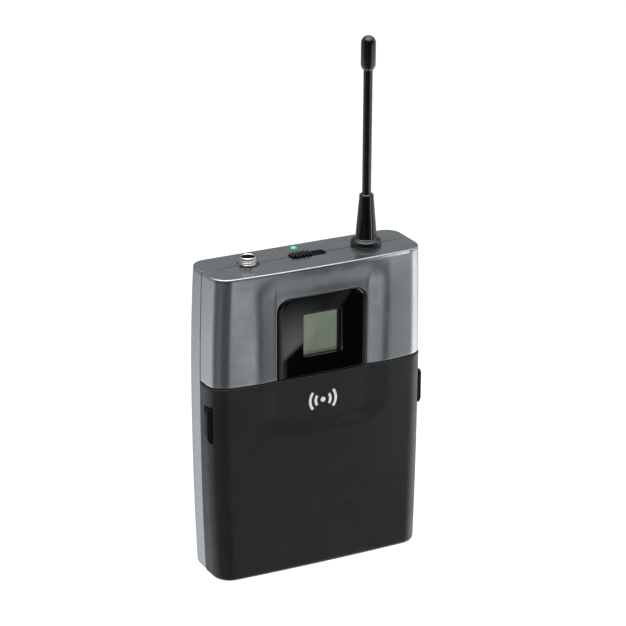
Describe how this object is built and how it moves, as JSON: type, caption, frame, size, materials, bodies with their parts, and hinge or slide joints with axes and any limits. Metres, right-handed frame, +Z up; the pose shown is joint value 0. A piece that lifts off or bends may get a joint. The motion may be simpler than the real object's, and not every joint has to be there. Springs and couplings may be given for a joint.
{
  "type": "wireless bodypack transmitter",
  "caption": "Pocket radio transmitter for a microphone: silver case, hinged black battery cover with side catches, display window, flexible whip antenna, mini jack, mute slider, belt clip.",
  "frame": {"origin": "middle of the flat bottom face, at mid width and mid depth of the case", "axes": "+X across the case to the antenna side, +Y towards the belt clip at the rear, +Z up along the antenna"},
  "size_m": [0.0674, 0.0285, 0.1501],
  "materials": {
    "silver_paint": "fine silver metallic paint, satin",
    "cover_black": "fine textured black, satin",
    "catch_black": "satin moulded",
    "gloss_black": "polished",
    "antenna_rubber": "smooth, slightly glossy",
    "knob_black": "satin moulded",
    "inner_black": "moulded, satin",
    "emblem_silver": "printed silver",
    "foam": "closed-cell foam",
    "steel": "machined",
    "black_steel": "black zinc",
    "spring_steel": "polished wire",
    "nickel": "nickel plated",
    "plated_steel": "tin plated",
    "gilt_brass": "gold flashed",
    "clear_lens": "clear acrylic",
    "lcd_glass": "grey-green liquid crystal glass",
    "white_plastic": "moulded white",
    "elastomer": "soft silicone",
    "circuit_board": "green solder mask",
    "chip_black": "moulded epoxy",
    "button_red": "moulded, satin",
    "button_grey": "moulded, satin",
    "capacitor_gold": "sleeved",
    "battery_wrap": "printed film sleeve",
    "led_green": "clear green light pipe"
  },
  "bodies": {
    "housing": {"rear_case": "silver_paint", "front_case": "silver_paint", "cover_hinge_pins": "steel", "window_panel": "gloss_black", "display_lens": "clear_lens", "lcd_panel": "lcd_glass", "light_guide": "white_plastic", "lcd_holder": "white_plastic", "elastomer_strip": "elastomer", "panel_board": "circuit_board", "tact_switches": "plated_steel", "display_chip": "chip_black", "keypad_fascia": "inner_black", "main_board": "circuit_board", "rf_shield_can": "plated_steel", "radio_chips": "chip_black", "filter_capacitors": "capacitor_gold", "power_inductor": "chip_black", "board_header": "chip_black", "board_screws": "steel", "case_screws": "black_steel", "battery_tray": "inner_black", "bridge_contact": "nickel", "positive_contact": "nickel", "negative_contact": "nickel", "battery_springs": "nickel", "lower_battery": "battery_wrap", "upper_battery": "battery_wrap", "jack_bush": "nickel", "jack_body": "chip_black", "jack_contacts": "gilt_brass", "antenna_boot": "antenna_rubber", "antenna_whip": "gloss_black", "antenna_tip": "antenna_rubber", "antenna_socket": "gilt_brass", "mute_switch_body": "plated_steel", "status_led": "led_green", "led_light_pipe": "led_green"},
    "cover": {"battery_cover": "cover_black", "battery_pad": "foam", "cover_emblem": "emblem_silver"},
    "left_catch": {"catch_left": "catch_black", "catch_spring_left": "spring_steel"},
    "right_catch": {"catch_right": "catch_black", "catch_spring_right": "spring_steel"},
    "mute_slider": {"mute_knob": "knob_black", "mute_switch_lever": "white_plastic"},
    "power_key": {"power_button": "button_red"},
    "set_key": {"set_button": "button_grey"},
    "up_key": {"up_button": "button_grey"},
    "down_key": {"down_button": "button_grey"},
    "clip": {"belt_clip": "spring_steel"}
  },
  "joints": [
    {"name": "cover_hinge", "type": "hinge", "parent": "housing", "child": "cover", "pos_m": [0, -0.0026, 0.0024], "axis": [1, 0, 0], "range_deg": [0, 90]},
    {"name": "left_catch_press", "type": "slide", "parent": "cover", "child": "left_catch", "axis": [1, 0, 0], "range_m": [0, 0.0012], "stiffness_N_per_m": 800, "deforming": ["catch_spring_left"]},
    {"name": "right_catch_press", "type": "slide", "parent": "cover", "child": "right_catch", "axis": [-1, 0, 0], "range_m": [0, 0.0012], "stiffness_N_per_m": 800, "deforming": ["catch_spring_right"]},
    {"name": "mute_slide", "type": "slide", "parent": "housing", "child": "mute_slider", "axis": [1, 0, 0], "range_m": [0, 0.0042]},
    {"name": "power_press", "type": "slide", "parent": "housing", "child": "power_key", "axis": [0, 1, 0], "range_m": [0, 0.0005], "stiffness_N_per_m": 600},
    {"name": "set_press", "type": "slide", "parent": "housing", "child": "set_key", "axis": [0, 1, 0], "range_m": [0, 0.0005], "stiffness_N_per_m": 600},
    {"name": "up_press", "type": "slide", "parent": "housing", "child": "up_key", "axis": [0, 1, 0], "range_m": [0, 0.0005], "stiffness_N_per_m": 600},
    {"name": "down_press", "type": "slide", "parent": "housing", "child": "down_key", "axis": [0, 1, 0], "range_m": [0, 0.0005], "stiffness_N_per_m": 600},
    {"name": "clip_flex", "type": "hinge", "parent": "housing", "child": "clip", "pos_m": [0, 0.0156, 0.076], "axis": [1, 0, 0], "range_deg": [0, 20], "stiffness_Nm_per_rad": 0.6}
  ]
}
